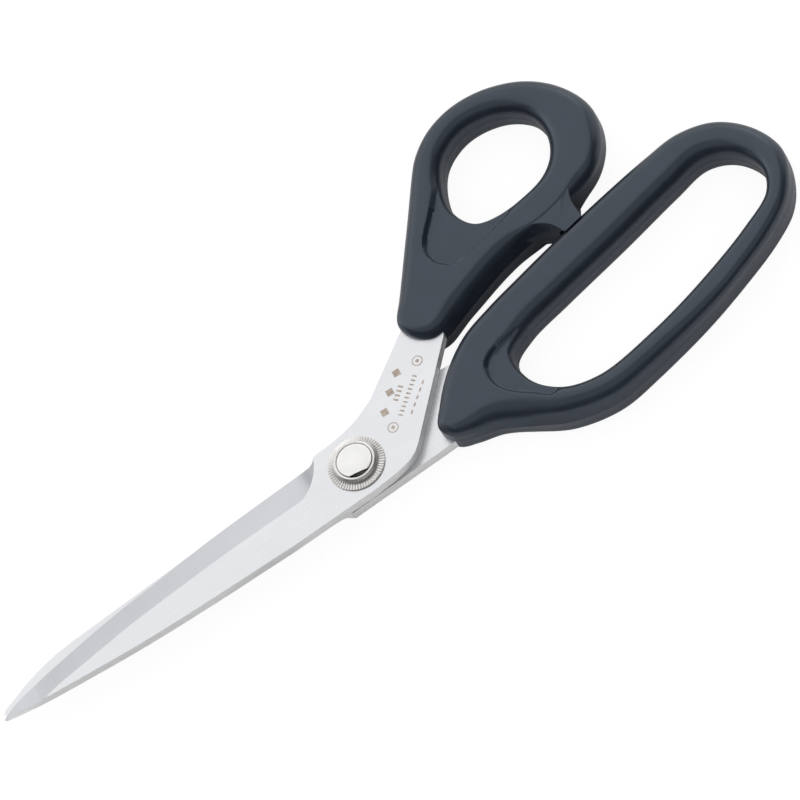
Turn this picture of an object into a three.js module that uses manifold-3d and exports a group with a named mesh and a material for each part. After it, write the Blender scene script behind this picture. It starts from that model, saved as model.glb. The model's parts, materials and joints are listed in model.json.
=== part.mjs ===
// Fabric shears, closed and lying flat. Millimetres, +Z up.
// +X runs from the blade tips to the handles and +Y points to the thumb loop. The parts are laid out
// around the pivot axis, and the finished group is moved so that its origin is the middle of its base.
import * as THREE from 'three';
import { mergeVertices } from 'three/addons/utils/BufferGeometryUtils.js';
import Module from 'manifold-3d';

const wasm = await Module();
wasm.setup();

const CLEAR = 20;               // cutting tools reach this far up and down
const FAR = 150;                // and this far to the sides
const OVERLAP = 0.5;            // joined solids run this far into each other

// Blades: heights are measured from the plane in which the two blades meet.
const BLADE_TOP = 3.0;          // outer face of a blade
const BLADE_FACE = 0.15;        // inner face of a blade
const EDGE_LAND = 0.25;         // thickness left at the cutting edge
const BEVEL_WIDTH = 7.8;        // cutting edge to bevel line, across the blade
const RUN_ON = 30;              // how far the bevel runs on past the ends of the cutting edge
const TIP_LEAN = 0.3;           // slope of the run at the tip
const HEEL_LEAN = 0.03;         // slope of the run at the heel
const RUN_OUT = [[-18, 0], [-14, 1.35], [-11, 3.8], [-8.2, 8.5]];    // curved end of the ground part
const TAPER_START = -36;        // where the blade starts to thin towards the tip
const TAPER_END = -109;
const TIP_TOP = 1.8;            // outer face at the tip
const FIT_GAP = 0.3;            // around the tang inside its handle

// Handles
const HANDLE_HALF = 6.0;        // half of the handle's thickness
const HANDLE_ROUND = 2.6;       // edge rounding
const LOOP_STEPS = 4;           // sides per listed outline point
const NIB_HALF = 5.5;           // half of the stop nib's height

// Pivot hardware: radii, and heights from the plane in which the blades meet
const BOLT_R = 4.7;
const BOLT_FLAT = 3.87;         // axis to the flat that keys the bolt
const BOLT_FLAT_TURN = -0.175;  // turn of the flat about the axis, in radians
const KEY_GAP = 0.1;            // around the bolt in the keyed holes
const RUN_GAP = 0.1;            // around the bolt in the round holes
const HEAD_R = 6.9;
const HEAD_TOP = -3.9;
const HEAD_BASE = -5.2;
const HEAD_CHAMFER = 0.5;
const SLOT_WIDTH = 1.4;
const SLOT_DEPTH = 0.7;
const DOME = [[BOLT_R, 4.95], [4.35, 5.25], [3, 5.5], [0, 5.65]];
const NUT_BASE = 3.4;
const NUT_TOP = 4.95;
const NUT = [[7.5, NUT_BASE], [7.5, 3.65], [5.9, 4], [5.5, 4.3], [5.4, 4.9], [5.2, 5.05]];
const KEY_WASHER_R = 6.6;
const KEY_WASHER_BASE = 3.05;
const KEY_WASHER_TOP = 3.35;
const SPRING_R = 6.6;
const SPRING_HOLE_R = 5.0;
const SPRING_THICK = 0.35;
const SPRING_RIM = -3.05;       // where the spring's rim bears on the blade
const SPRING_RISE = 0.4;
const GLIDE_R = 7.0;
const GLIDE_HOLE_R = 4.9;
const GLIDE_HALF = 0.35;
const RECESS_R = 7.2;
const RECESS_TOP = 0.45;
const ROUND_SIDES = 48;

// Outlines, as [x, y] from the pivot axis.
const THUMB_EDGE = [[-104, 0.26], [-96, 1.94], [-84, 3.75], [-72, 5.24], [-60, 6.2], [-40, 7.6], [-12, 8.42]];
const THUMB_BLADE_OUTLINE = [
  ['line', [[-108.2, -2.1], [-108.6, -1.6], [-108.3, -1.1]]],
  ['smooth', THUMB_EDGE],
  ['line', [[-8.2, 8.5], [-7.6, 8.8]]],
  ['smooth', [[0, 9.3], [6, 10.6], [12, 13.2]]],
  ['line', [[27.7, 24.5], [33, 30], [44, 42], [49, 38], [41.5, 26], [36, 16.4], [16, -4.8]]],
  ['smooth', [[14, -6.6], [12, -7.7], [8, -8.7], [0, -9.3]]],
  ['line', [[-25, -9.3]]],
  ['smooth', [[-48, -8.5], [-60, -7.95], [-72, -7.1], [-84, -5.9], [-96, -4.5], [-104, -3], [-108.2, -2.1]]],
];

// The finger blade is drawn face up, as it lies before it is turned over about the X axis.
const FINGER_EDGE = [[-104, 2.6], [-96, 4.2], [-84, 5.6], [-72, 6.85], [-60, 7.7], [-40, 8.6], [-12, 9.1]];
const FINGER_BLADE_OUTLINE = [
  ['line', [[-106.5, -0.8], [-107.4, 0], [-107.2, 0.9]]],
  ['smooth', FINGER_EDGE],
  ['line', [[-8.1, 9.2], [-7.5, 9.4], [24, 9.15], [38, 7.6], [42.5, 4], [42.5, -3], [38, -8]]],
  ['smooth', [[33, -10.2], [16, -9.9], [0, -9.2], [-12, -8.54]]],
  ['line', [[-84, -6.23]]],
  ['smooth', [[-90, -5.71], [-96, -4.46], [-100, -3.25], [-104, -1.69], [-106.5, -0.8]]],
];

const THUMB_HANDLE_OUTLINE = [
  [28, 25.2], [30.9, 30.8], [37.1, 39.6], [45, 50.5], [51.5, 59.5], [55.8, 64.6], [62.3, 69],
  [71, 71.1], [80.4, 70], [89.3, 65.7], [95.7, 59], [99.3, 50.8], [99.5, 44.8], [96.8, 38],
  [91.3, 32.3], [84, 29], [76, 27], [65.9, 25.6], [57.1, 23.8], [47.1, 20.7], [40.5, 18.3],
  [36.6, 17.1], [33.2, 17.4], [29.6, 20.6],
];
const THUMB_HOLE = [
  [79.6, 61.4], [85.7, 55.3], [86.3, 47.8], [83, 41.3], [76.5, 37.1], [67.5, 36], [59.1, 37.9],
  [55.8, 44.7], [57, 52.2], [61.7, 59.9], [70, 63.5],
];
const STOP_NIB = [[66, 27], [71.2, 25.8], [73.8, 23.7], [75.3, 21.6], [81.3, 22.7], [82.2, 27], [84, 31]];
const FINGER_HANDLE_OUTLINE = [
  [21.8, -5.4], [24.8, -0.3], [31.5, 7], [39.8, 12.6], [49.3, 15.6], [59.1, 17.8], [71, 20.3],
  [88, 23.4], [102.8, 25.5], [112.8, 26.1], [122.2, 22.9], [129, 15.5], [131.9, 6], [130.1, -1.1],
  [125.5, -7.7], [117.2, -12.9], [105.5, -17.5], [91.2, -22], [74.1, -25.6], [62, -26.9],
  [49.8, -23.7], [41.3, -18.3], [34.4, -13.8], [28.1, -11.7], [23.6, -9.3],
];
const FINGER_HOLE = [
  [114.2, 15.8], [120.8, 12.2], [124.7, 4], [122, -3.2], [112.1, -8.1], [97.5, -13], [80, -17.2],
  [62.3, -19.2], [52.8, -15.9], [47.2, -7.8], [47.4, 0.2], [54, 4], [66.1, 6.6], [86.6, 10.5],
  [104.1, 14.2],
];

function toVectors(points) {
  return points.map(([x, y]) => new THREE.Vector2(x, y));
}

// A closed outline of straight and smooth runs.
function runOutline(runs) {
  const shape = new THREE.Shape();
  const [startX, startY] = runs[0][1][0];
  shape.moveTo(startX, startY);
  for (const [kind, points] of runs) {
    if (kind === 'smooth') {
      shape.splineThru(toVectors(points));
    } else {
      points.forEach(([x, y]) => shape.lineTo(x, y));
    }
  }
  return shape;
}

// A closed smooth loop through a few points that are listed clockwise, turned to run the other way.
function loopPoints(points, stepsPerPoint) {
  const corners = points.map(([x, y]) => new THREE.Vector3(x, y, 0)).reverse();
  const curve = new THREE.CatmullRomCurve3(corners, true, 'centripetal');
  const samples = curve.getPoints(points.length * stepsPerPoint).slice(0, -1);
  return samples.map((p) => new THREE.Vector2(p.x, p.y));
}

// A geometry as a manifold solid, with its vertices merged and its empty triangles dropped.
function solid(geometry) {
  const bare = geometry.clone();
  bare.deleteAttribute('normal');
  bare.deleteAttribute('uv');
  const merged = mergeVertices(bare, 1e-4);
  const index = merged.index.array;
  const triangles = [];
  for (let i = 0; i < index.length; i += 3) {
    const [a, b, c] = [index[i], index[i + 1], index[i + 2]];
    if (a !== b && b !== c && c !== a) triangles.push(a, b, c);
  }
  const vertProperties = merged.attributes.position.array;
  const mesh = new wasm.Mesh({ numProp: 3, vertProperties, triVerts: new Uint32Array(triangles) });
  return new wasm.Manifold(mesh);
}

function toMesh(name, shape, look) {
  const cut = shape.getMesh();
  const geometry = new THREE.BufferGeometry();
  geometry.setAttribute('position', new THREE.BufferAttribute(cut.vertProperties, 3));
  geometry.setIndex(new THREE.BufferAttribute(cut.triVerts, 1));
  geometry.computeVertexNormals();
  const mesh = new THREE.Mesh(geometry, new THREE.MeshStandardMaterial(look));
  mesh.name = name;
  return mesh;
}

function prism(shape, bottom, top) {
  const depth = top - bottom;
  const geometry = new THREE.ExtrudeGeometry(shape, { depth, bevelEnabled: false, curveSegments: 2 });
  return solid(geometry.translate(0, 0, bottom));
}

// A prism whose outline and ends are grown by the fit gap.
function grownPrism(shape, bottom, top) {
  const geometry = new THREE.ExtrudeGeometry(shape, {
    depth: top - bottom,
    bevelThickness: FIT_GAP,
    bevelSize: FIT_GAP,
    bevelSegments: 1,
    curveSegments: 2,
  });
  return solid(geometry.translate(0, 0, bottom));
}

function cylinder(radius, bottom, top) {
  const geometry = new THREE.CylinderGeometry(radius, radius, top - bottom, ROUND_SIDES);
  return solid(geometry.rotateX(Math.PI / 2).translate(0, 0, (bottom + top) / 2));
}

// A turned body from its [radius, height] profile, listed upwards along its outside.
function turned(profile) {
  return solid(new THREE.LatheGeometry(toVectors(profile), ROUND_SIDES).rotateX(Math.PI / 2));
}

// A round bar with the bolt's flat along it.
function keyedBar(radius, flat) {
  const side = new THREE.BoxGeometry(2 * CLEAR, CLEAR, 4 * CLEAR);
  side.translate(0, -flat - CLEAR / 2, 0).rotateZ(BOLT_FLAT_TURN);
  return cylinder(radius, -CLEAR, CLEAR).subtract(solid(side));
}

// The space above a blade's bevel: a slab whose edge, set back from the cutting edge, slopes down to it.
function bevelRoof(edge) {
  const [tipX, tipY] = edge[0];
  const [heelX, heelY] = edge[edge.length - 1];
  const shape = new THREE.Shape();
  shape.moveTo(tipX - RUN_ON, tipY - RUN_ON * TIP_LEAN);
  shape.lineTo(tipX, tipY);
  shape.splineThru(toVectors(edge.slice(1)));
  shape.lineTo(heelX + RUN_ON, heelY + RUN_ON * HEEL_LEAN);
  shape.lineTo(heelX + RUN_ON, -FAR);
  shape.lineTo(tipX - RUN_ON, -FAR);
  const rise = BLADE_TOP - EDGE_LAND;
  const geometry = new THREE.ExtrudeGeometry(shape, {
    depth: CLEAR,
    bevelThickness: rise,
    bevelSize: BEVEL_WIDTH,
    bevelOffset: -BEVEL_WIDTH,
    bevelSegments: 1,
    curveSegments: 2,
  });
  return solid(geometry.translate(0, 0, EDGE_LAND - CLEAR));
}

// The ground part of the blade, left of the curved run-out in front of the pivot.
function groundArea() {
  const [start, ...rest] = RUN_OUT;
  const [endX] = rest[rest.length - 1];
  const shape = new THREE.Shape();
  shape.moveTo(-FAR, -FAR);
  shape.lineTo(start[0], -FAR);
  shape.lineTo(...start);
  shape.splineThru(toVectors(rest));
  shape.lineTo(endX, FAR);
  shape.lineTo(-FAR, FAR);
  return prism(shape, -CLEAR, CLEAR);
}

// What is taken off the outer face so that the blade thins towards its tip.
function taperCut() {
  const slope = (BLADE_TOP - TIP_TOP) / (TAPER_END - TAPER_START);
  const shape = new THREE.Shape();
  shape.moveTo(TAPER_START, BLADE_TOP);
  shape.lineTo(TAPER_START, BLADE_TOP + CLEAR);
  shape.lineTo(TAPER_END - CLEAR, BLADE_TOP + CLEAR);
  shape.lineTo(TAPER_END - CLEAR, TIP_TOP + slope * CLEAR);
  const geometry = new THREE.ExtrudeGeometry(shape, { depth: 2 * FAR, bevelEnabled: false });
  return solid(geometry.rotateX(Math.PI / 2).translate(0, FAR, 0));
}

// A blade, face up, with its hole and with the recess for the glide washer in its inner face.
function blade(runs, edge, hole) {
  const blank = prism(runOutline(runs), BLADE_FACE, BLADE_TOP);
  const plain = blank.subtract(groundArea());
  const ground = blank.intersect(bevelRoof(edge));
  const recess = cylinder(RECESS_R, -CLEAR, RECESS_TOP);
  return plain.add(ground).subtract(taperCut()).subtract(recess).subtract(hole);
}

function thumbBlade() {
  return blade(THUMB_BLADE_OUTLINE, THUMB_EDGE, cylinder(BOLT_R + RUN_GAP, -CLEAR, CLEAR));
}

function turnOver(shape) {
  return shape.rotate([180, 0, 0]);
}

function fingerBlade() {
  const hole = turnOver(keyedBar(BOLT_R + KEY_GAP, BOLT_FLAT + KEY_GAP));
  return turnOver(blade(FINGER_BLADE_OUTLINE, FINGER_EDGE, hole));
}

// A handle: a flat loop with rounded edges and a hole.
function loopBody(outline, hole) {
  const shape = new THREE.Shape(loopPoints(outline, LOOP_STEPS));
  shape.holes.push(new THREE.Path(loopPoints(hole, LOOP_STEPS)));
  const depth = 2 * (HANDLE_HALF - HANDLE_ROUND);
  const geometry = new THREE.ExtrudeGeometry(shape, {
    depth,
    bevelThickness: HANDLE_ROUND,
    bevelSize: HANDLE_ROUND,
    bevelOffset: -HANDLE_ROUND,
    bevelSegments: 2,
  });
  return solid(geometry.translate(0, 0, -depth / 2));
}

function thumbHandle() {
  const nib = prism(new THREE.Shape(toVectors(STOP_NIB)), -NIB_HALF, NIB_HALF);
  const pocket = grownPrism(runOutline(THUMB_BLADE_OUTLINE), BLADE_FACE, BLADE_TOP);
  return loopBody(THUMB_HANDLE_OUTLINE, THUMB_HOLE).add(nib).subtract(pocket);
}

function fingerHandle() {
  const pocket = turnOver(grownPrism(runOutline(FINGER_BLADE_OUTLINE), BLADE_FACE, BLADE_TOP));
  return loopBody(FINGER_HANDLE_OUTLINE, FINGER_HOLE).subtract(pocket);
}

// Low slotted head at the back, flat-sided shank, domed front end.
function pivotBolt() {
  const head = turned([
    [0, HEAD_BASE],
    [HEAD_R - HEAD_CHAMFER, HEAD_BASE],
    [HEAD_R, HEAD_BASE + HEAD_CHAMFER],
    [HEAD_R, HEAD_TOP],
    [0, HEAD_TOP],
  ]);
  const slot = new THREE.BoxGeometry(2 * CLEAR, SLOT_WIDTH, 2 * SLOT_DEPTH).translate(0, 0, HEAD_BASE);
  const bar = turned([[0, HEAD_TOP - OVERLAP], [BOLT_R, HEAD_TOP - OVERLAP], ...DOME]);
  const shank = bar.intersect(keyedBar(BOLT_R + OVERLAP, BOLT_FLAT));
  return head.subtract(solid(slot)).add(shank);
}

// Flange with a sloping face for the serrations, and a raised collar.
function tensionNut() {
  const bore = BOLT_R + RUN_GAP;
  return turned([[bore, NUT_BASE], ...NUT, [bore, NUT_TOP], [bore, NUT_BASE]]);
}

function keyWasher() {
  const hole = keyedBar(BOLT_R + KEY_GAP, BOLT_FLAT + KEY_GAP);
  return cylinder(KEY_WASHER_R, KEY_WASHER_BASE, KEY_WASHER_TOP).subtract(hole);
}

function discSpring() {
  const inner = SPRING_RIM - SPRING_RISE;
  return turned([[SPRING_HOLE_R, inner - SPRING_THICK], [SPRING_R, SPRING_RIM - SPRING_THICK],
    [SPRING_R, SPRING_RIM], [SPRING_HOLE_R, inner], [SPRING_HOLE_R, inner - SPRING_THICK]]);
}

function glideWasher() {
  return cylinder(GLIDE_R, -GLIDE_HALF, GLIDE_HALF).subtract(cylinder(GLIDE_HOLE_R, -CLEAR, CLEAR));
}

const STEEL = { color: 0xdfe1e4, roughness: 0.3, metalness: 1 };
const NICKEL = { color: 0xe0dcd4, roughness: 0.15, metalness: 1 };
const SPRING_STEEL = { color: 0x9a9ca0, roughness: 0.35, metalness: 1 };
const BRASS = { color: 0xb8954a, roughness: 0.35, metalness: 1 };
const GRIP = { color: 0x30363c, roughness: 0.5, metalness: 0 };

const shears = new THREE.Group();
shears.add(toMesh('finger_blade', fingerBlade(), STEEL));
shears.add(toMesh('finger_handle', fingerHandle(), GRIP));
shears.add(toMesh('pivot_bolt', pivotBolt(), NICKEL));
shears.add(toMesh('disc_spring', discSpring(), SPRING_STEEL));
shears.add(toMesh('glide_washer', glideWasher(), BRASS));
shears.add(toMesh('key_washer', keyWasher(), SPRING_STEEL));
shears.add(toMesh('tension_nut', tensionNut(), NICKEL));

const moving = new THREE.Group();
moving.add(toMesh('thumb_blade', thumbBlade(), STEEL));
moving.add(toMesh('thumb_handle', thumbHandle(), GRIP));
shears.add(moving);

// The origin is the middle of the base of the whole box.
const box = new THREE.Box3().setFromObject(shears);
const middle = box.getCenter(new THREE.Vector3());
shears.position.set(-middle.x, -middle.y, -box.min.z);

export default shears;
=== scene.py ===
"""Fabric shears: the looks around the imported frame. Shapes are worked out in millimetres from the pivot."""

import json
import math

import bmesh
import bpy
import numpy as np
from mathutils import Matrix, Vector
from mathutils.geometry import delaunay_2d_cdt


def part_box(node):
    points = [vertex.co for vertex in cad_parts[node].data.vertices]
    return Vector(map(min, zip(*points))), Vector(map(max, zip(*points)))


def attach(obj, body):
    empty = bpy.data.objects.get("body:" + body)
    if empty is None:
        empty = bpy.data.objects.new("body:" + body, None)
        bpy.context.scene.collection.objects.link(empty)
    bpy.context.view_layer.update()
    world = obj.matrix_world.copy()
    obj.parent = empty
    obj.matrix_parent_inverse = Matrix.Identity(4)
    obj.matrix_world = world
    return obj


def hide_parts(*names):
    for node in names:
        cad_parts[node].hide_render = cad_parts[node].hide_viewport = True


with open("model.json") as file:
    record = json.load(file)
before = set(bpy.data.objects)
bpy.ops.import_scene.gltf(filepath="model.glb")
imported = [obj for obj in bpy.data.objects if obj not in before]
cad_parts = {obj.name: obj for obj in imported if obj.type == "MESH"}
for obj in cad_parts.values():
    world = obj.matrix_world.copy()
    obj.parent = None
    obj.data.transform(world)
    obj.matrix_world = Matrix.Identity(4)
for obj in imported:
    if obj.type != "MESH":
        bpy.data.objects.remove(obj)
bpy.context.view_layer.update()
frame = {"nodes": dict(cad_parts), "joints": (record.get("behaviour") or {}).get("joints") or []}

MM = 0.001
SLIVER = 0.001 * MM         # what a cut leaves that is thinner than this goes
PIVOT = Vector(next(j["pos_m"] for j in frame["joints"] if j["name"] == "blade_pivot"))
FINGER_SIDE, THUMB_SIDE, NUT_BODY = "finger_side", "thumb_side", "nut"

# Handles
HANDLE_LOW, HANDLE_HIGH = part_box("finger_handle")
HANDLE_HALF = (HANDLE_HIGH.z - HANDLE_LOW.z) / 2 / MM
HANDLE_CREASE = 32          # degrees between faces that makes a sharp crease
EDGE_ROUND = 4.0            # usual edge radius of the handles
RAIL_SHARE = 0.47           # most of a thin rail's width that one rounded edge takes
ROUND_STEPS = 11            # rings across a rounded edge
OUTLINE_STEP = 0.6          # between points along an outline
FINE_STEP = 0.4             # between points of the face where it has relief
COARSE = 3                  # the plain face keeps one point in this many, each way
FINE_REACH = 1.8            # how far round the recess the points stay close together
RIM_CLEAR = 0.22            # least distance of a fine point from the rounded edge's last ring
COARSE_CLEAR = 0.45         # the same for the plain face's points
RECESS_DEPTH = 1.4
RECESS_WALL = 0.8           # width of the recess's sloping wall
RECESS_SOFT = 0.08          # softness of its creases
MOULD_LINE = 0.03           # how far the mould line stands out
MOULD_LINE_HALF = 0.12      # half its width

THUMB_OUTLINE = [
    (28, 25.2), (30.9, 30.8), (37.1, 39.6), (45, 50.5), (51.5, 59.5), (55.8, 64.6), (62.3, 69),
    (71, 71.1), (80.4, 70), (89.3, 65.7), (95.7, 59), (99.3, 50.8), (99.5, 44.8), (96.8, 38),
    (91.3, 32.3), (84, 29), (76, 27), (65.9, 25.6), (57.1, 23.8), (47.1, 20.7), (40.5, 18.3),
    (36.6, 17.1), (33.2, 17.4), (29.6, 20.6),
]
THUMB_HOLE = [
    (79.6, 61.4), (85.7, 55.3), (86.3, 47.8), (83, 41.3), (76.5, 37.1), (67.5, 36), (59.1, 37.9),
    (55.8, 44.7), (57, 52.2), (61.7, 59.9), (70, 63.5),
]
THUMB_RECESS = [
    (57.5, 54), (53, 49.4), (50, 46.1), (47, 42.9), (45, 40), (44.3, 37.6), (44.5, 35.3), (45.5, 33.2),
    (47.5, 31.2), (50, 30.5), (53, 30.7), (57, 31.5), (62, 32.6), (68, 34.5), (73, 42), (66, 52),
]
FINGER_OUTLINE = [
    (21.8, -5.4), (24.8, -0.3), (31.5, 7), (39.8, 12.6), (49.3, 15.6), (59.1, 17.8), (71, 20.3),
    (88, 23.4), (102.8, 25.5), (112.8, 26.1), (122.2, 22.9), (129, 15.5), (131.9, 6), (130.1, -1.1),
    (125.5, -7.7), (117.2, -12.9), (105.5, -17.5), (91.2, -22), (74.1, -25.6), (62, -26.9),
    (49.8, -23.7), (41.3, -18.3), (34.4, -13.8), (28.1, -11.7), (23.6, -9.3),
]
FINGER_HOLE = [
    (114.2, 15.8), (120.8, 12.2), (124.7, 4), (122, -3.2), (112.1, -8.1), (97.5, -13), (80, -17.2),
    (62.3, -19.2), (52.8, -15.9), (47.2, -7.8), (47.4, 0.2), (54, 4), (66.1, 6.6), (86.6, 10.5),
    (104.1, 14.2),
]
FINGER_RECESS = [
    (53, 5), (49, 4.3), (45, 3.6), (42, 2.4), (40.3, 0.7), (39.5, -1.7), (39.3, -3.6), (39.7, -5.8),
    (40.8, -8.1), (43, -10.8), (46, -13.5), (50, -17), (58, -12), (60, 0),
]

# How far the upper half of the front walls leans in, by x, once a wall faces the front squarely enough
FRONT_START, FRONT_FULL = 0.15, 0.65
THUMB_LEAN = [
    (30, 0), (42, 1.1), (50, 1.5), (60, 1.7), (67, 1.1), (71, 0), (82, 0), (86, -0.9), (91, -1.8), (96, -0.8),
    (99, 0),
]
FINGER_LEAN = [
    (20, 0), (26, -0.9), (29, 0), (34, 1.75), (42, 2.6), (50, 2.1), (58, 1.3), (70, 0.5), (80, 0), (92, -0.9),
    (100, -1.4), (112, -1.1), (120, -0.6), (128, 0),
]

# Where the rounded edges are tighter: (x, y, reach, radius)
THUMB_TIGHT = [(28.6, 24.5, 9, 2.0), (36.5, 17, 8, 3.0), (56, 24, 18, 3.0), (74.5, 26.9, 13, 1.3)]
FINGER_TIGHT = [(22.5, -7, 7, 3.2)]

# The stop nib under the thumb loop, down its left side and then up its right side
NIB_HALF = 5.75
NIB_STRAIGHT = 4.8          # its levels are evenly spaced this far up and down from the middle
NIB_WALL_HALF = 2           # from here its left side goes over from the wall's line to the top's
NIB_FLARE_END = 5.5
NIB_EDGE = 0.3              # its edge rounding
NIB_GAP = 0.75              # between its end and the finger rail
NIB_POINTS = {"left": 34, "end": 12, "right": 26}
NIB_LEFT_TOP = [
    (64, 29), (66.5, 28), (69, 27.2), (71, 26.3), (72.5, 25.15), (73.7, 23.9), (74.6, 22.3), (75.2, 20.9),
    (75.8, 19.5), (76, 18.8),
]
NIB_LEFT_WALL = [
    (64, 26.6), (66.5, 26.1), (68.5, 25.85), (70.3, 25.4), (71.8, 24.6), (73.1, 23.6), (74.2, 22.3),
    (75, 20.9), (75.7, 19.5), (75.9, 18.8),
]
NIB_RIGHT = [(81.5, 18.8), (81.45, 23.3), (81.5, 25.6), (81.8, 27.15), (82.4, 28.6), (83.2, 30), (84.2, 31.6)]
NIB_ROOT = [(83, 32.6), (76, 32.2), (66, 31)]
RAIL_PART = (40, 110, 8)    # x from, x to and least y of the finger rail's upper side, which faces the nib

# Blades: heights are from the plane in which the blades meet, and the lines along a blade are (x, y)
BLADE_TOP = 3.0
BLADE_FACE = 0.15           # inner face in front of the pivot
RIDE_FACE = 0.03            # inner face where the blades bear on each other, from the pivot backwards
RIDE_START = -5
RIDE_RUN_OUT = 6            # length over which the two levels meet
WASHER_SEAT_R = 7.2         # seat for the washer between the blades
WASHER_SEAT_TOP = 0.45
BLADE_SOFT = 0.055          # rounding of the blades' edges
ABOVE = 9                   # a cutting tool reaches from here down, or from BELOW up
BELOW = -1
ASIDE = 20                  # and this far to each side
THUMB_BLADE = [
    ("line", [(-108, -2.38), (-108.4, -1.9), (-108.3, -1.35)]),
    ("smooth", [(-104, 0.26), (-96, 1.94), (-84, 3.75), (-72, 5.24), (-60, 6.2), (-40, 7.6), (-12, 8.42)]),
    ("line", [(-8.2, 8.5), (-7.6, 8.8)]),
    ("smooth", [(0, 9.3), (6, 10.6), (12, 13.2)]),
    ("line", [(27.7, 24.5), (33, 30), (44, 42), (49, 38), (41.5, 26), (36, 16.4), (16, -4.8)]),
    ("smooth", [(14, -6.6), (12, -7.7), (8, -8.7), (0, -9.3)]),
    ("line", [(-25, -9.3)]),
    ("smooth", [
        (-48, -8.5), (-60, -7.95), (-72, -7.1), (-84, -5.9), (-96, -4.55), (-104, -3.2), (-108, -2.38),
    ]),
]
THUMB_EDGE = [(-108.4, -1.9), (-108.3, -1.35), *THUMB_BLADE[1][1], (-8.2, 8.5)]
THUMB_SPINE = [(-108.4, -1.9), *THUMB_BLADE[-1][1][::-1], (-25, -9.3)]
THUMB_BEVEL = [
    (-108.4, -7), (-104, -6), (-100, -5.1), (-96.5, -4.3), (-92, -3.5), (-88, -3.1), (-84, -2.7),
    (-80, -2.25), (-76, -1.9), (-72, -1.45), (-68, -1.1), (-60, -0.7), (-48, -0.2), (-40, 0.1),
    (-17, 0.15), (-16, 0.35), (-15, 0.8), (-14, 1.35), (-13, 2.0), (-12, 2.9), (-11, 3.9), (-10, 5.1),
    (-9, 6.7), (-8.4, 8.1), (-8.2, 8.45),
]

# The finger blade is drawn face up, as it lies before it is turned over about the X axis.
FINGER_BLADE = [
    ("line", [(-106.9, -0.8), (-107.8, 0), (-107.6, 0.9)]),
    ("smooth", [(-104, 2.6), (-96, 4.2), (-84, 5.6), (-72, 6.85), (-60, 7.7), (-40, 8.6), (-12, 9.1)]),
    ("line", [(-8.1, 9.2), (-7.5, 9.4), (24, 9.15), (38, 7.6), (42.5, 4), (42.5, -3), (38, -8)]),
    ("smooth", [(33, -10.2), (16, -9.9), (0, -9.2), (-12, -8.54)]),
    ("line", [(-84, -6.23)]),
    ("smooth", [(-90, -5.71), (-96, -4.46), (-100, -3.25), (-104, -1.8), (-106.9, -0.8)]),
]
FINGER_EDGE = [(-107.8, 0), (-107.6, 0.9), *FINGER_BLADE[1][1], (-8.1, 9.2)]
FINGER_SPINE = [(-107.8, 0), *FINGER_BLADE[-1][1][::-1], (-84, -6.23), (-12, -8.54)]
FINGER_BEVEL = [
    (-107.8, -6), (-100, -4.3), (-96, -3.2), (-92, -2.2), (-84, -1.5), (-72, -0.6), (-60, 0.1),
    (-40, 0.8), (-17, 1.0), (-16, 1.15), (-15, 1.5), (-14, 2.0), (-13, 2.7), (-12, 3.6), (-11, 4.6),
    (-10, 5.8), (-9, 7.4), (-8.3, 8.8), (-8.1, 9.15),
]
# The outer face's height and the edge's own height, by x, and the bevel's fall towards the edge
OUTER_FACE = [(-112, 2.4), (-96, 2.7), (-90, 2.78), (-60, 2.9), (-36, 3.0), (0, 3.0)]
OUTER_END = (-30, 3.0375)   # where the sloping outer face has risen out of the blade
BEVEL_SLOPE = 0.352
BEVEL_LAND = 0.2            # where less than this is left of the outer face, the bevel takes the whole width
EDGE_HEIGHT = [
    (-120, 0.25), (-12.5, 0.25), (-11.5, 0.3), (-10.5, 0.45), (-9.8, 0.75), (-9.2, 1.3), (-8.7, 2.0),
    (-8.2, 2.98), (-8, 3),
]
HOLLOW = 0.12               # relief ground into the inner face
HOLLOW_START = 0.02         # the grinding tool starts this far below the face
HOLLOW_TIP, HOLLOW_HEEL = -101, -12        # where it has run out, along the blade
SPINE_LAND = 1.2            # flat strip left along the spine
EDGE_LAND = 0.9             # and along the edge
FLAT_FROM = 0.992           # a face whose normal's z is above this is a flat one
BEVEL_FROM = 0.4            # and above this, it is the bevel
BLADE_CREASE = 10           # degrees between faces that makes a sharp crease

# Pivot hardware
BOLT_R = 4.6
BOLT_SEAT = -4.4            # where the shank starts, inside the head
BOLT_SHOULDER = 4.95        # where its rounded end starts
CROWN_FOOT = 5.1
CROWN_RISE = 0.55
CROWN_R = 4.55
BOLT_HOLE_R = 4.8
BOLT_FLAT = 3.72            # from the axis to the flat
BOLT_FLAT_TURN = -0.2
SLOT_HALF = 0.7             # half the width of the slot across the head
SLOT_TOP = -4.5
NUT_TEETH = 60
TOOTH_SHARE = 0.6           # how far in the teeth are cut, as a share of how far down
BOLT_CREASE = 30
RING_CREASE = 35            # for the nut and the spring
NUT_BORE = 4.72
THREAD_PITCH = 0.34
THREAD_DEPTH = 0.06


def smooth_step(t):
    """From 0 to 1, with a soft start and end."""
    t = np.clip(t, 0, 1)
    return t * t * (3 - 2 * t)


# ---------------------------------------------------------------- meshes
def new_object(name, verts_mm, faces, smooth=True):
    """An object from vertices in millimetres about the pivot."""
    mesh = bpy.data.meshes.new(name)
    placed = np.asarray(verts_mm, float) * MM + np.array(PIVOT)
    mesh.from_pydata(placed.tolist(), [], [list(map(int, f)) for f in faces])
    mesh.validate()
    bm = bmesh.new()
    bm.from_mesh(mesh)
    bmesh.ops.recalc_face_normals(bm, faces=bm.faces)
    bm.to_mesh(mesh)
    bm.free()
    if smooth:
        mesh.shade_smooth()
    obj = bpy.data.objects.new(name, mesh)
    bpy.context.scene.collection.objects.link(obj)
    return obj


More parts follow.
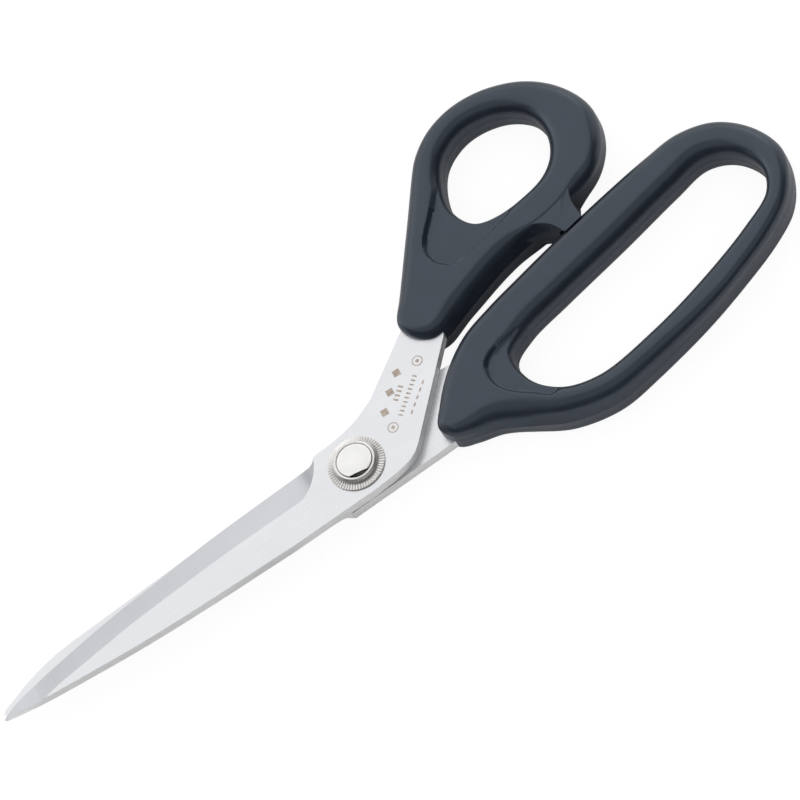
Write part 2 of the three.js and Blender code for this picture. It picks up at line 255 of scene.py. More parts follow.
def settle(obj):
    """Replaces an object's mesh by what its modifiers make of it."""
    depsgraph = bpy.context.evaluated_depsgraph_get()
    made = bpy.data.meshes.new_from_object(obj.evaluated_get(depsgraph))
    obj.modifiers.clear()
    old = obj.data
    obj.data = made
    made.name = obj.name
    bpy.data.meshes.remove(old)


def combine(obj, tool, how):
    """Joins the tool's solid to the object's, or cuts it away, and removes the tool."""
    modifier = obj.modifiers.new(how, "BOOLEAN")
    modifier.operation = how
    modifier.solver = "EXACT"
    modifier.object = tool
    settle(obj)
    bm = bmesh.new()
    bm.from_mesh(obj.data)
    bmesh.ops.dissolve_degenerate(bm, dist=SLIVER, edges=bm.edges)
    bm.to_mesh(obj.data)
    bm.free()
    bpy.data.objects.remove(tool)


def crease(obj, degrees):
    """Sharp shading wherever faces meet at more than this angle."""
    obj.data.set_sharp_from_angle(angle=math.radians(degrees))


def soften_edges(obj, width_mm, degrees=30, segments=2):
    """Small rounded edges wherever faces meet at more than this angle."""
    modifier = obj.modifiers.new("edges", "BEVEL")
    modifier.width = width_mm * MM
    modifier.segments = segments
    modifier.limit_method = "ANGLE"
    modifier.angle_limit = math.radians(degrees)
    modifier.harden_normals = True
    modifier.miter_outer = "MITER_ARC"


# ---------------------------------------------------------------- outlines
def spline_piece(p0, p1, p2, p3, count):
    """Points of a centripetal Catmull-Rom curve from p1 up to p2."""
    t1 = math.sqrt(np.linalg.norm(p1 - p0))
    t2 = t1 + math.sqrt(np.linalg.norm(p2 - p1))
    t3 = t2 + math.sqrt(np.linalg.norm(p3 - p2))
    out = []
    for t in np.linspace(t1, t2, count, endpoint=False):
        a1 = (t1 - t) / t1 * p0 + t / t1 * p1
        a2 = (t2 - t) / (t2 - t1) * p1 + (t - t1) / (t2 - t1) * p2
        a3 = (t3 - t) / (t3 - t2) * p2 + (t - t2) / (t3 - t2) * p3
        b1 = (t2 - t) / t2 * a1 + t / t2 * a2
        b2 = (t3 - t) / (t3 - t1) * a2 + (t - t1) / (t3 - t1) * a3
        out.append((t2 - t) / (t2 - t1) * b1 + (t - t1) / (t2 - t1) * b2)
    return out


def smooth_loop(points, step):
    """A closed centripetal Catmull-Rom loop through the points, at even steps."""
    p = np.array(points, float)
    n = len(p)
    dense = []
    for i in range(n):
        dense.extend(spline_piece(p[i - 1], p[i], p[(i + 1) % n], p[(i + 2) % n], 40))
    dense = np.array(dense)
    closed = np.vstack([dense, dense[:1]])
    run = np.r_[0, np.cumsum(np.linalg.norm(np.diff(closed, axis=0), axis=1))]
    count = round(run[-1] / step)
    at = np.linspace(0, run[-1], count, endpoint=False)
    return np.c_[np.interp(at, run, closed[:, 0]), np.interp(at, run, closed[:, 1])]


def signed_area(loop):
    """A loop's area, positive where the loop runs counter-clockwise."""
    x, y = loop[:, 0], loop[:, 1]
    return 0.5 * np.sum(x * np.roll(y, -1) - y * np.roll(x, -1))


def average_round(values, width):
    """A running average around a loop."""
    kernel = np.hanning(2 * width + 3)[1:-1]
    kernel /= kernel.sum()
    padded = np.r_[values[-width:], values, values[:width]]
    return np.convolve(padded, kernel, mode="valid")


def inward_normals(loop, material_inside):
    """Unit normals of a loop that point into the material."""
    along = np.roll(loop, -1, axis=0) - np.roll(loop, 1, axis=0)
    along /= np.linalg.norm(along, axis=1)[:, None]
    left = np.c_[-along[:, 1], along[:, 0]]
    turn = np.sign(signed_area(loop)) * (1 if material_inside else -1)
    return left * turn


def distances(points, loop):
    """Distance of each point to a closed loop of segments."""
    a, b = loop, np.roll(loop, -1, axis=0)
    ab = b - a
    best = np.full(len(points), 1e9)
    for start in range(0, len(points), 2000):
        part = points[start:start + 2000, None, :] - a[None]
        t = np.clip(np.einsum("ijk,jk->ij", part, ab) / np.einsum("jk,jk->j", ab, ab), 0, 1)
        gap = np.linalg.norm(part - t[..., None] * ab[None], axis=2)
        best[start:start + 2000] = gap.min(axis=1)
    return best


def inside(points, loop):
    """Whether each point is within a closed loop."""
    a, b = loop, np.roll(loop, -1, axis=0)
    found = np.zeros(len(points), bool)
    for (ax, ay), (bx, by) in zip(a, b):
        if ay == by:
            continue
        crosses = (ay > points[:, 1]) != (by > points[:, 1])
        at = ax + (points[:, 1] - ay) * (bx - ax) / (by - ay)
        found ^= crosses & (points[:, 0] < at)
    return found


# ---------------------------------------------------------------- handles
def recess_floor(points, recess):
    """Height of the scooped recess's surface: its floor, and the wall that climbs out of it."""
    side = distances(points, recess) * np.where(inside(points, recess), -1, 1)
    slope = RECESS_DEPTH / RECESS_WALL
    climb = RECESS_SOFT * np.logaddexp(0, (side + RECESS_WALL / 2) / RECESS_SOFT) * slope
    return HANDLE_HALF - RECESS_DEPTH + climb


def lower_of(a, b):
    """The lower of two heights, with a soft crease where they meet."""
    k = RECESS_SOFT
    return -k * np.logaddexp(-a / k, -b / k)


def edge_radii(loop, other, tight, lean):
    """Edge radius along a loop: less on thin rails, and at the tight spots (x, y, reach, radius)."""
    radius = np.minimum(EDGE_ROUND, RAIL_SHARE * (distances(loop, other) - np.maximum(lean, 0)))
    for x, y, reach, small in tight:
        near = 1 - np.linalg.norm(loop - (x, y), axis=1) / reach
        radius = radius + (np.minimum(small, radius) - radius) * smooth_step(near * 1.6)
    return average_round(radius, 6)


def lean_of(loop, normal, table):
    """How far in the upper wall leans along the front side of a loop, from a table of (x, lean)."""
    x, lean = np.array(table, float).T
    front = smooth_step((normal[:, 1] - FRONT_START) / (FRONT_FULL - FRONT_START))
    return average_round(np.interp(loop[:, 0], x, lean) * front, 8)


def edge_rings(radius):
    """Rings from the mould line up over the rounded edge, as (distance in, height)."""
    none = np.zeros(len(radius))
    rings = [(none - MOULD_LINE, none), (none, none + MOULD_LINE_HALF)]
    for k in range(ROUND_STEPS + 1):
        turn = math.pi / 2 * k / ROUND_STEPS
        rings.append((radius * (1 - math.cos(turn)), HANDLE_HALF - radius * (1 - math.sin(turn))))
    return rings


def wall_levels(loop, normal, rings, tilt, recess_loop):
    """Where each ring lies along a loop: leaning by the tilt, and cut down where the recess reaches it."""
    levels = []
    for inset, height in rings:
        xy = loop + normal * (inset + tilt * height)[:, None]
        cut = lower_of(height, recess_floor(xy, recess_loop))
        height = np.where(height > HANDLE_HALF - RECESS_DEPTH - 1, cut, height)
        levels.append(np.c_[xy, height])
    return levels


def loop_handle(name, outline, hole, recess, tight, lean):
    """A moulded loop handle: rounded edges, flat faces with a scooped recess, and a fine mould line."""
    loops = [smooth_loop(outline, OUTLINE_STEP), smooth_loop(hole, OUTLINE_STEP)]
    recess_loop = smooth_loop(recess, OUTLINE_STEP)
    verts, faces = [], []
    tops = []
    for which, loop in enumerate(loops):
        count = len(loop)
        normal = inward_normals(loop, which == 0)
        leaning = lean_of(loop, normal if which == 0 else -normal, lean)
        rings = edge_rings(edge_radii(loop, loops[1 - which], tight, leaning))
        for side in (1, -1):
            leans = which == 0 and side == 1
            levels = wall_levels(loop, normal, rings, leaning / HANDLE_HALF * leans, recess_loop)
            rows = levels if side == 1 else levels[1:]
            first = len(verts)
            for row in rows:
                verts.extend((row * (1, 1, side)).tolist())
            ids = [np.arange(count) + first + r * count for r in range(len(rows))]
            if side == 1:
                middle = ids[0]
            else:
                ids.insert(0, middle)
            for lower, upper in zip(ids, ids[1:]):
                after = np.roll(np.arange(count), -1)
                faces.extend(zip(lower, lower[after], upper[after], upper))
            tops.append((side, which, levels[-1][:, :2], ids[-1]))
    for side in (1, -1):
        rims = [(xy, ids) for s, _, xy, ids in tops if s == side]
        fill_face(verts, faces, rims, side, recess_loop)
    return new_object(name, verts, faces)


def face_points(outer, inner, recess_loop):
    """Points within a flat face in an even grid, close together where the recess is."""
    low, high = outer.min(axis=0), outer.max(axis=0)
    columns = np.arange(low[0], high[0], FINE_STEP)
    lines = np.arange(low[1], high[1], FINE_STEP * math.sqrt(3) / 2)
    grid_x, grid_y = np.meshgrid(np.arange(len(columns)), np.arange(len(lines)))
    x = columns[grid_x] + (grid_y % 2) * FINE_STEP / 2
    points = np.c_[x.ravel(), lines[grid_y].ravel()]
    kept_always = ((grid_x % COARSE == 0) & (grid_y % (2 * COARSE) == 0)).ravel()
    kept_always |= (((grid_x + COARSE // 2 + 1) % COARSE == 0) & (grid_y % (2 * COARSE) == COARSE)).ravel()
    keep = inside(points, outer) & ~inside(points, inner)
    points, kept_always = points[keep], kept_always[keep]
    away = np.minimum(distances(points, outer), distances(points, inner))
    side_of = distances(points, recess_loop) * np.where(inside(points, recess_loop), -1, 1)
    fine = side_of < FINE_REACH
    return points[(away > RIM_CLEAR) & ((kept_always & (away > COARSE_CLEAR)) | fine)]


def fill_face(verts, faces, rims, side, recess_loop):
    """The face between the last rings, flat but for the recess."""
    outer, inner = rims[0][0], rims[1][0]
    points = face_points(outer, inner, recess_loop)
    height = lower_of(np.full(len(points), HANDLE_HALF), recess_floor(points, recess_loop))
    rim_points = np.vstack([outer, inner])
    rim_ids = np.r_[rims[0][1], rims[1][1]]
    every = np.vstack([rim_points, points])
    ids = np.r_[rim_ids, np.arange(len(points)) + len(verts)]
    verts.extend(np.c_[points, height * side].tolist())
    edges = []
    start = 0
    for loop in (outer, inner):
        count = len(loop)
        edges += [(start + i, start + (i + 1) % count) for i in range(count)]
        start += count
    made, _, triangles, origins, _, _ = delaunay_2d_cdt([Vector(p) for p in every], edges, [], 0, 1e-6)
    source = [o[0] for o in origins]
    corners = np.array([list(t) for t in triangles])
    flat = np.array([list(v) for v in made])
    centre = flat[corners].mean(axis=1)
    wanted = inside(centre, outer) & ~inside(centre, inner)
    for tri in corners[wanted]:
        faces.append([ids[source[i]] for i in tri])


# ---------------------------------------------------------------- solids
def open_curve(points, step):
    """A centripetal Catmull-Rom curve through the points."""
    p = np.array(points, float)
    p = np.vstack([2 * p[0] - p[1], p, 2 * p[-1] - p[-2]])
    out = []
    for p0, p1, p2, p3 in zip(p, p[1:], p[2:], p[3:]):
        out.extend(spline_piece(p0, p1, p2, p3, max(1, round(np.linalg.norm(p2 - p1) / step))))
    return np.array(out + [p[-2]])


def run_outline(runs, step):
    """A closed outline of straight and smooth runs, counter-clockwise."""
    out = [np.array(runs[0][1][0], float)]
    for kind, points in runs:
        if kind == "smooth":
            out.extend(open_curve([out[-1], *points], step)[1:])
        else:
            out.extend(np.array(points, float))
    loop = np.array([p for p, q in zip(out, out[1:] + out[:1]) if np.linalg.norm(p - q) > 1e-3])
    return loop if signed_area(loop) > 0 else loop[::-1]


def loft(name, rows):
    """A closed solid through sections with the same number of corners."""
    rows = np.array(rows, float)
    count = rows.shape[1]
    faces = [tuple(range(count)), tuple(range(len(rows) * count - count, len(rows) * count))]
    for r in range(len(rows) - 1):
        for i in range(count):
            j = (i + 1) % count
            faces.append((r * count + i, r * count + j, (r + 1) * count + j, (r + 1) * count + i))
    return new_object(name, rows.reshape(-1, 3), faces)


def prism(name, loop, bottom, top):
    """A closed solid with upright sides."""
    rows = [np.c_[loop, np.full(len(loop), z)] for z in (bottom, top)]
    return loft(name, rows)


def turned(name, profile, sides=96, teeth=0):
    """A turned solid from its closed profile of (radius, height, tooth depth)."""
    angle = np.arange(sides) * 2 * math.pi / sides
    wave = np.abs((angle * teeth / (2 * math.pi)) % 1 - 0.5) * 2 if teeth else np.zeros(sides)
    rows = []
    for radius, height, depth in profile:
        cut = radius - TOOTH_SHARE * depth * wave
        rows.append(np.c_[cut * np.cos(angle), cut * np.sin(angle), height - depth * wave])
    rows = np.array(rows)
    count = len(profile)
    faces = []
    for r in range(count):
        after = (r + 1) % count
        for i in range(sides):
            j = (i + 1) % sides
            faces.append((r * sides + i, r * sides + j, after * sides + j, after * sides + i))
    return new_object(name, rows.reshape(-1, 3), faces)


def lathe(name, profile, sides=96):
    """A turned solid whose profile runs from the axis to the axis, bottom to top."""
    angle = np.arange(sides) * 2 * math.pi / sides
    ring = np.c_[np.cos(angle), np.sin(angle)]
    verts = [(0, 0, profile[0][1])]
    faces = []
    for radius, height in profile[1:-1]:
        verts.extend(np.c_[ring * radius, np.full(sides, height)].tolist())
    verts.append((0, 0, profile[-1][1]))
    last = len(verts) - 1
    for i in range(sides):
        j = (i + 1) % sides
        faces.append((0, 1 + j, 1 + i))
        for r in range(len(profile) - 3):
            a, b = 1 + r * sides, 1 + (r + 1) * sides
            faces.append((a + i, a + j, b + j, b + i))
        top = 1 + (len(profile) - 3) * sides
        faces.append((top + i, top + j, last))
    return new_object(name, verts, faces)


def turn_over(obj):
    """Turns a piece over about the X axis through the pivot."""
    about = Matrix.Translation(PIVOT)
    obj.data.transform(about @ Matrix.Rotation(math.pi, 4, "X") @ about.inverted())
    return obj


# ---------------------------------------------------------------- stop nib
def rail_side(x, z):
    """Where the finger rail's upper side lies, at a height on its rounded edge."""
    loop = smooth_loop(FINGER_OUTLINE, OUTLINE_STEP)
    start, end, least = RAIL_PART
    upper = loop[(loop[:, 0] > start) & (loop[:, 0] < end) & (loop[:, 1] > least)]
    upper = upper[np.argsort(upper[:, 0])]
    above = max(0, abs(z) - (HANDLE_HALF - EDGE_ROUND))
    inset = EDGE_ROUND - math.sqrt(EDGE_ROUND ** 2 - above ** 2)
    return np.interp(x, upper[:, 0], upper[:, 1]) - inset


def trimmed(points, z, count):
    """The part of a nib side above its end face, at even steps."""
    curve = open_curve(points, 0.2)
    curve = curve[curve[:, 1] >= rail_side(curve[:, 0], z) + NIB_GAP]
    run = np.r_[0, np.cumsum(np.linalg.norm(np.diff(curve, axis=0), axis=1))]
    at = np.linspace(0, run[-1], count)
    return np.c_[np.interp(at, run, curve[:, 0]), np.interp(at, run, curve[:, 1])]


def stop_nib():
    """The nib under the thumb loop, in levels from its underside up, with its end along the finger rail."""
    turns = [math.radians(a) for a in (0, 30, 60, 90)]
    caps = [(NIB_HALF - NIB_EDGE * (1 - math.sin(a)), NIB_EDGE * (1 - math.cos(a))) for a in turns]
    mids = [(z, 0) for z in np.linspace(-NIB_STRAIGHT, NIB_STRAIGHT, 17)]
    levels = [(-z, inset) for z, inset in reversed(caps)] + mids + caps
    rows = []
    for z, shrink in levels:
        flare = smooth_step((abs(z) - NIB_WALL_HALF) / (NIB_FLARE_END - NIB_WALL_HALF))
        side = np.array(NIB_LEFT_WALL) + flare * (np.array(NIB_LEFT_TOP) - np.array(NIB_LEFT_WALL))
        left = trimmed(side, z, NIB_POINTS["left"])
        right = trimmed(NIB_RIGHT, z, NIB_POINTS["right"])
        x = np.linspace(left[-1, 0], right[0, 0], NIB_POINTS["end"])[1:-1]
        end = np.c_[x, rail_side(x, z) + NIB_GAP]
        loop = np.vstack([left, end, right, NIB_ROOT])
        loop = loop + inward_normals(loop, True) * shrink
        rows.append(np.c_[loop, np.full(len(loop), z)])
    return loft("nib", rows)


# ---------------------------------------------------------------- blades
def along(points, x):
    """The value at x in a table of (x, value)."""
    table = np.array(points, float)
    return np.interp(x, table[:, 0], table[:, 1])


def outer_face_tool():
    """What is above the outer face, which falls away towards the tip."""
    rows = []
    for x, top in [*OUTER_FACE[:-2], OUTER_END]:
        rows.append([(x, -ASIDE, top), (x, ASIDE, top), (x, ASIDE, ABOVE), (x, -ASIDE, ABOVE)])
    return loft("outer_tool", rows)


def bevel_tool(edge, spine, bevel):
    """What is above the ground bevel, which runs out in a curve in front of the pivot."""
    start, end = edge[0][0] - 1.5, edge[-1][0]
    spans = ((start, -18, 1.5), (-17.5, -12.5, 0.5), (-12.5, end, 0.25))
    stations = np.r_[tuple(np.arange(*span) for span in spans) + (end,)]
    rows = []
    for x in stations:
        line = np.array([along(bevel, x), along(OUTER_FACE, x)])
        foot = np.array([along(edge, x), along(EDGE_HEIGHT, x)])
        width = foot[0] - along(spine, x)
        if foot[0] - line[0] > width - BEVEL_LAND:
            line = foot + np.array([-1, BEVEL_SLOPE]) * (width + 0.3)
        way = foot - line
        way /= np.linalg.norm(way)
        high, low = line - way * 2, foot + way * 4
        rows.append([(x, *high), (x, *low), (x, low[0], ABOVE), (x, high[0], ABOVE)])
    return loft("bevel_tool", rows)


def relief_tool():
    """What is below the inner face in front of the pivot, where the blades stand apart."""
    rows = []
    for x, z in ((-130, BLADE_FACE), (RIDE_START - RIDE_RUN_OUT, BLADE_FACE), (RIDE_START, RIDE_FACE - 0.01)):
        rows.append([(x, -ASIDE, z), (x, ASIDE, z), (x, ASIDE, BELOW), (x, -ASIDE, BELOW)])
    return loft("relief_tool", rows)


def hollow_tool(edge, spine):
    """The shallow relief of the inner face, between a land at the edge and one at the spine."""
    rows = []
    for x in np.arange(HOLLOW_TIP + 1, HOLLOW_HEEL - 1, 1.5):
        low, high = along(spine, x) + SPINE_LAND, along(edge, x) - EDGE_LAND
        y = np.linspace(low, high, 13)
        bulge = 1 - ((y - (low + high) / 2) / ((high - low) / 2)) ** 2
        fade = smooth_step(min((x - HOLLOW_TIP) / 12, (HOLLOW_HEEL - x) / 8))
        z = BLADE_FACE - HOLLOW_START + (HOLLOW + HOLLOW_START) * bulge * fade
        row = [(x, a, b) for a, b in zip(y, z)]
        rows.append(row + [(x, high, BELOW), (x, low, BELOW)])
    return loft("hollow_tool", rows)


def cylinder(name, radius, bottom, top, sides=96):
    """A closed cylinder about the pivot's axis."""
    angle = np.arange(sides) * 2 * math.pi / sides
    return prism(name, np.c_[np.cos(angle), np.sin(angle)] * radius, bottom, top)


def blade(name, runs, edge, spine, bevel):
    """A blade, face up: outer face, ground bevel, hollow inner face and bolt hole."""
    body = prism(name, run_outline(runs, 1.0), RIDE_FACE, BLADE_TOP)
    combine(body, relief_tool(), "DIFFERENCE")
    combine(body, outer_face_tool(), "DIFFERENCE")
    combine(body, bevel_tool(edge, spine, bevel), "DIFFERENCE")
    combine(body, hollow_tool(edge, spine), "DIFFERENCE")
    combine(body, cylinder("seat", WASHER_SEAT_R, BELOW, WASHER_SEAT_TOP), "DIFFERENCE")
    combine(body, cylinder("hole", BOLT_HOLE_R, BELOW, ABOVE), "DIFFERENCE")
    return body


def dress_blade(obj):
    """Satin faces, ground bevel and ground sides, by which way each face looks: besides their real finishes,
    the bevel's steel is painted darker as painted shade and the sides' steel brighter as painted light.
    """
    for material in (satin, ground, sides):
        obj.data.materials.append(material)
    for face in obj.data.polygons:
        upright = abs(face.normal.z)
        face.material_index = 0 if upright > FLAT_FROM else 1 if upright > BEVEL_FROM else 2
    crease(obj, BLADE_CREASE)


# ---------------------------------------------------------------- pivot hardware
def flat_tool(bottom, top):
    """What the bolt's flat takes off its side."""
    c, s = math.cos(BOLT_FLAT_TURN), math.sin(BOLT_FLAT_TURN)
    corners = [(-ASIDE, -BOLT_FLAT), (-ASIDE, -ASIDE), (ASIDE, -ASIDE), (ASIDE, -BOLT_FLAT)]
    loop = np.array([(x * c - y * s, x * s + y * c) for x, y in corners])
    return prism("flat_tool", loop, bottom, top)


def pivot_bolt():
    """The bolt: a domed end with a flat beside it, a plain shank and a slotted head underneath."""
    shank = [(0, BOLT_SEAT), (BOLT_R, BOLT_SEAT), (BOLT_R, BOLT_SHOULDER), (4.58, 5.03), (4.53, 5.09)]
    radii = (4.45, 4.2, 3.9, 3.4, 2.8, 2.2, 1.6, 1.0, 0.5)
    crown = [(r, CROWN_FOOT + CROWN_RISE * (1 - (r / CROWN_R) ** 2)) for r in radii]
    bolt = lathe("pivot_bolt_polished", shank + crown + [(0, CROWN_FOOT + CROWN_RISE)])
    combine(bolt, flat_tool(BOLT_SEAT + 0.1, 8), "DIFFERENCE")
    head = lathe("head", [
        (0, -5.2), (6.2, -5.2), (6.6, -5.1), (6.85, -4.85), (6.9, -4.5), (6.9, -4.0), (6.8, -3.9), (0, -3.9),
    ])
    across = np.array([(-9, -SLOT_HALF), (9, -SLOT_HALF), (9, SLOT_HALF), (-9, SLOT_HALF)])
    slot = prism("slot", across, -6, SLOT_TOP)
    combine(head, slot, "DIFFERENCE")
    combine(bolt, head, "UNION")
    return bolt


def tension_nut():
    """The nut: a serrated flange, a plain collar and a threaded bore."""
    profile = [
        (4.85, 3.42, 0), (6.72, 3.42, 0), (6.78, 3.08, 0), (7.38, 3.08, 0), (7.5, 3.16, 0), (7.5, 3.42, 0.07),
        (7.42, 3.52, 0.13), (7.2, 3.57, 0.14), (6.8, 3.62, 0.14), (6.5, 3.66, 0.14), (6.3, 3.7, 0.14),
        (6.15, 3.76, 0.13), (6.0, 3.87, 0.12), (5.8, 4.05, 0.1), (5.62, 4.24, 0.06), (5.52, 4.42, 0.02),
        (5.46, 4.65, 0), (5.42, 4.88, 0), (5.34, 4.98, 0), (5.22, 5.03, 0), (4.96, 5.04, 0), (4.82, 5.0, 0),
        (NUT_BORE, 4.9, 0),
    ]
    for k in range(4):
        z = 4.8 - k * THREAD_PITCH
        profile += [(NUT_BORE, z, 0), (NUT_BORE - THREAD_DEPTH, z - THREAD_PITCH / 2, 0)]
    return turned("tension_nut_serrated", profile, sides=NUT_TEETH * 8, teeth=NUT_TEETH)


def disc_spring():
    """The spring under the blades: a thin cone with rounded rims."""
    profile = [
        (5.0, -3.72, 0), (5.08, -3.8, 0), (6.5, -3.42, 0), (6.6, -3.34, 0), (6.6, -3.12, 0), (6.5, -3.06, 0),
        (5.08, -3.42, 0), (5.0, -3.5, 0),
    ]
    return turned("disc_spring_rolled", profile)


# ---------------------------------------------------------------- plain marks on the shank
# Places are the middles of the marks, and heights are from the plane in which the blades meet
MARK_TURN = math.radians(40)
MARK_BOTTOM = 2.97
MARK_TOP = 3.012
DIAMONDS = [(13.0, 7.6), (16.9, 11.6), (21.0, 15.2)]
DIAMOND_SIDE = 1.9
RINGS = [(12.6, 2.6), (27.0, 14.7)]
RING_R = 1.45
RING_WIDTH = 0.26
RING_CENTRE = 0.9           # side of the square within a ring
BAR_ROWS = [                # (middle of the row), bars, width, height, pitch
    ((18.5, 10.0), 4, 0.5, 1.4, 1.25),
    ((20.1, 7.9), 10, 0.42, 1.2, 1.22),
    ((21.9, 5.9), 5, 1.1, 0.45, 2.1),
]


def add_bar(verts, faces, x, y, length, height, turn):
    """Adds a thin plate to a mesh, turned about its middle."""
    c, s = math.cos(turn), math.sin(turn)
    a, b = length / 2, height / 2
    loop = [(x + p * c - q * s, y + p * s + q * c) for p, q in ((-a, -b), (a, -b), (a, b), (-a, b))]
    first = len(verts)
    verts.extend([(p, q, z) for z in (MARK_BOTTOM, MARK_TOP) for p, q in loop])
    faces.append([first + i for i in range(4)])
    faces.append([first + 4 + i for i in range(4)])
    for i in range(4):
        j = (i + 1) % 4
        faces.append([first + i, first + j, first + 4 + j, first + 4 + i])


def add_ring(verts, faces, x, y, sides=40):
    """Adds a thin ring to a mesh."""
    inner = RING_R - RING_WIDTH
    section = [(RING_R, MARK_BOTTOM), (RING_R, MARK_TOP), (inner, MARK_TOP), (inner, MARK_BOTTOM)]
    first = len(verts)
    for k in range(sides):
        angle = 2 * math.pi * k / sides
        verts.extend([(x + r * math.cos(angle), y + r * math.sin(angle), z) for r, z in section])
        here, after = first + 4 * k, first + 4 * ((k + 1) % sides)
        for i in range(4):
            j = (i + 1) % 4
            faces.append([here + i, here + j, after + j, after + i])


def etched_marks():
    """Three plain diamonds, three rows of plain bars and two plain rings, flush with the face."""
    verts, faces = [], []
    for x, y in DIAMONDS:
        add_bar(verts, faces, x, y, DIAMOND_SIDE, DIAMOND_SIDE, MARK_TURN + math.pi / 4)
    for x, y in RINGS:
        add_ring(verts, faces, x, y)
        add_bar(verts, faces, x, y, RING_CENTRE, RING_CENTRE, MARK_TURN)
    for (x, y), count, width, height, pitch in BAR_ROWS:
        for k in range(count):
            mid = (k - (count - 1) / 2) * pitch
            along_x, along_y = mid * math.cos(MARK_TURN), mid * math.sin(MARK_TURN)
            add_bar(verts, faces, x + along_x, y + along_y, width, height, MARK_TURN)
    return new_object("etched_marks", verts, faces, smooth=False)


# ---------------------------------------------------------------- camera, light, floor
ROLL = math.radians(34.6)         # the blades run down to the lower left
TILT = math.radians(31.5)         # camera's tilt from straight above
LOOK_AT = (17.9, 9.9, 0)          # from the pivot, in the middle of the picture
CAMERA_AWAY = 1.6
PICTURE_WIDTH = 0.2
SENSOR = 36
HORIZON_GLOW = 0.376              # low down at the back
ROOM_GLOW = 0.042
GLOW_SPAN = (("Y", -0.1, 0.6), ("Z", 0.55, 0.1))    # where the back's glow starts and is full
TABLE_SHADE = 0.85                # how much light the table sends back up
FLOOR_GLOW = 0.92
FLOOR_DROP = 0.00005              # in metres, clear of the handles' undersides
TABLE_DROP = 0.0002
FLOOR_HALF = 3


def add_camera():
    """A long lens, tilted towards the viewer's side and rolled so that the blades run across the picture."""
    back = Vector((0, -math.sin(TILT), math.cos(TILT)))
    level = Vector((1, 0, 0))
    rise = back.cross(level)
    right = level * math.cos(ROLL) - rise * math.sin(ROLL)
    up = level * math.sin(ROLL) + rise * math.cos(ROLL)
    data = bpy.data.cameras.new("camera")
    data.sensor_width = SENSOR
    data.lens = SENSOR * CAMERA_AWAY / PICTURE_WIDTH
    data.clip_start, data.clip_end = 0.05, 20
    cam = bpy.data.objects.new("camera", data)
    bpy.context.scene.collection.objects.link(cam)
    place = PIVOT + Vector(LOOK_AT) * MM + back * CAMERA_AWAY
    turn = Matrix((right, up, back)).transposed().to_4x4()
    cam.matrix_world = Matrix.Translation(place) @ turn
    bpy.context.scene.camera = cam


def softbox(name, azimuth, elevation, away, size, watts):
    """A square light panel facing the object."""
    a, e = math.radians(azimuth), math.radians(elevation)
    towards = Vector((math.sin(a) * math.cos(e), math.cos(a) * math.cos(e), math.sin(e)))
    data = bpy.data.lights.new(name, "AREA")
    data.shape = "RECTANGLE"
    data.size, data.size_y = size
    data.energy = watts
    lamp = bpy.data.objects.new(name, data)
    bpy.context.scene.collection.objects.link(lamp)
    lamp.visible_camera = False
    lamp.location = PIVOT + towards * away
    lamp.rotation_mode = "QUATERNION"
    lamp.rotation_quaternion = towards.to_track_quat("Z", "Y")
    return lamp


def add_light():
    """A dim room with a glow along the back, and light panels round the table."""
    world = bpy.data.worlds.new("studio")
    bpy.context.scene.world = world
    world.use_nodes = True
    nodes, links = world.node_tree.nodes, world.node_tree.links
    place = nodes.new("ShaderNodeTexCoord")
    split = nodes.new("ShaderNodeSeparateXYZ")
    links.new(place.outputs["Generated"], split.inputs["Vector"])
    glow = nodes.new("ShaderNodeMath")
    glow.operation = "MULTIPLY"
    for slot, (side, none, full) in enumerate(GLOW_SPAN):
        share = nodes.new("ShaderNodeMapRange")
        share.inputs["From Min"].default_value = none
        share.inputs["From Max"].default_value = full
        links.new(split.outputs[side], share.inputs["Value"])
        links.new(share.outputs["Result"], glow.inputs[slot])
    level = nodes.new("ShaderNodeMapRange")
    level.inputs["To Min"].default_value = ROOM_GLOW
    level.inputs["To Max"].default_value = HORIZON_GLOW
    links.new(glow.outputs[0], level.inputs["Value"])
    links.new(level.outputs["Result"], nodes["Background"].inputs["Strength"])
    nodes["Background"].inputs["Color"].default_value = (1, 1, 1, 1)
    softbox("back_panel", -6, 49, 1.0, (2.4, 1.6), 13.4)
    softbox("top_panel", 180, 66, 1.1, (2.6, 0.8), 3.5)
    fill = softbox("front_fill", 180, 40, 1.2, (1.2, 0.8), 6.8)
    fill.visible_glossy = False
    softbox("left_panel", -62, 14, 1.2, (1.2, 0.8), 1.45)
    softbox("right_panel", 60, 14, 1.2, (1.0, 0.7), 1.75)


def add_plane(name, drop, material):
    """A level plane this far under the object."""
    mesh = bpy.data.meshes.new(name)
    half = FLOOR_HALF
    corners = [(-half, -half, -drop), (half, -half, -drop), (half, half, -drop), (-half, half, -drop)]
    mesh.from_pydata(corners, [], [(0, 1, 2, 3)])
    plane = bpy.data.objects.new(name, mesh)
    bpy.context.scene.collection.objects.link(plane)
    mesh.materials.append(material)
    return plane


def add_floor():
    """A pale floor, and just under it the table that sends light back up."""
    pale, shader = plain_material("floor", (0.1, 0.1, 0.1), 0.9)
    shader.inputs["Emission Color"].default_value = (1, 1, 1, 1)
    shader.inputs["Emission Strength"].default_value = FLOOR_GLOW
    floor = add_plane("floor", FLOOR_DROP, pale)
    floor.visible_glossy = False
    floor.visible_diffuse = False
    floor.visible_shadow = False
    matt, _ = plain_material("table", (TABLE_SHADE,) * 3, 0.9)
    table = add_plane("table", TABLE_DROP, matt)
    table.visible_camera = False


# ---------------------------------------------------------------- materials
# How the noise of the finishing lines is stretched: small along the lines and large across them
ALONG_BLADE = (0.5, 14, 14)
ACROSS_BLADE = (14, 0.5, 0.5)
THROUGH_BLADE = (14, 14, 0.6)
NO_LINES = (3, 3, 3)


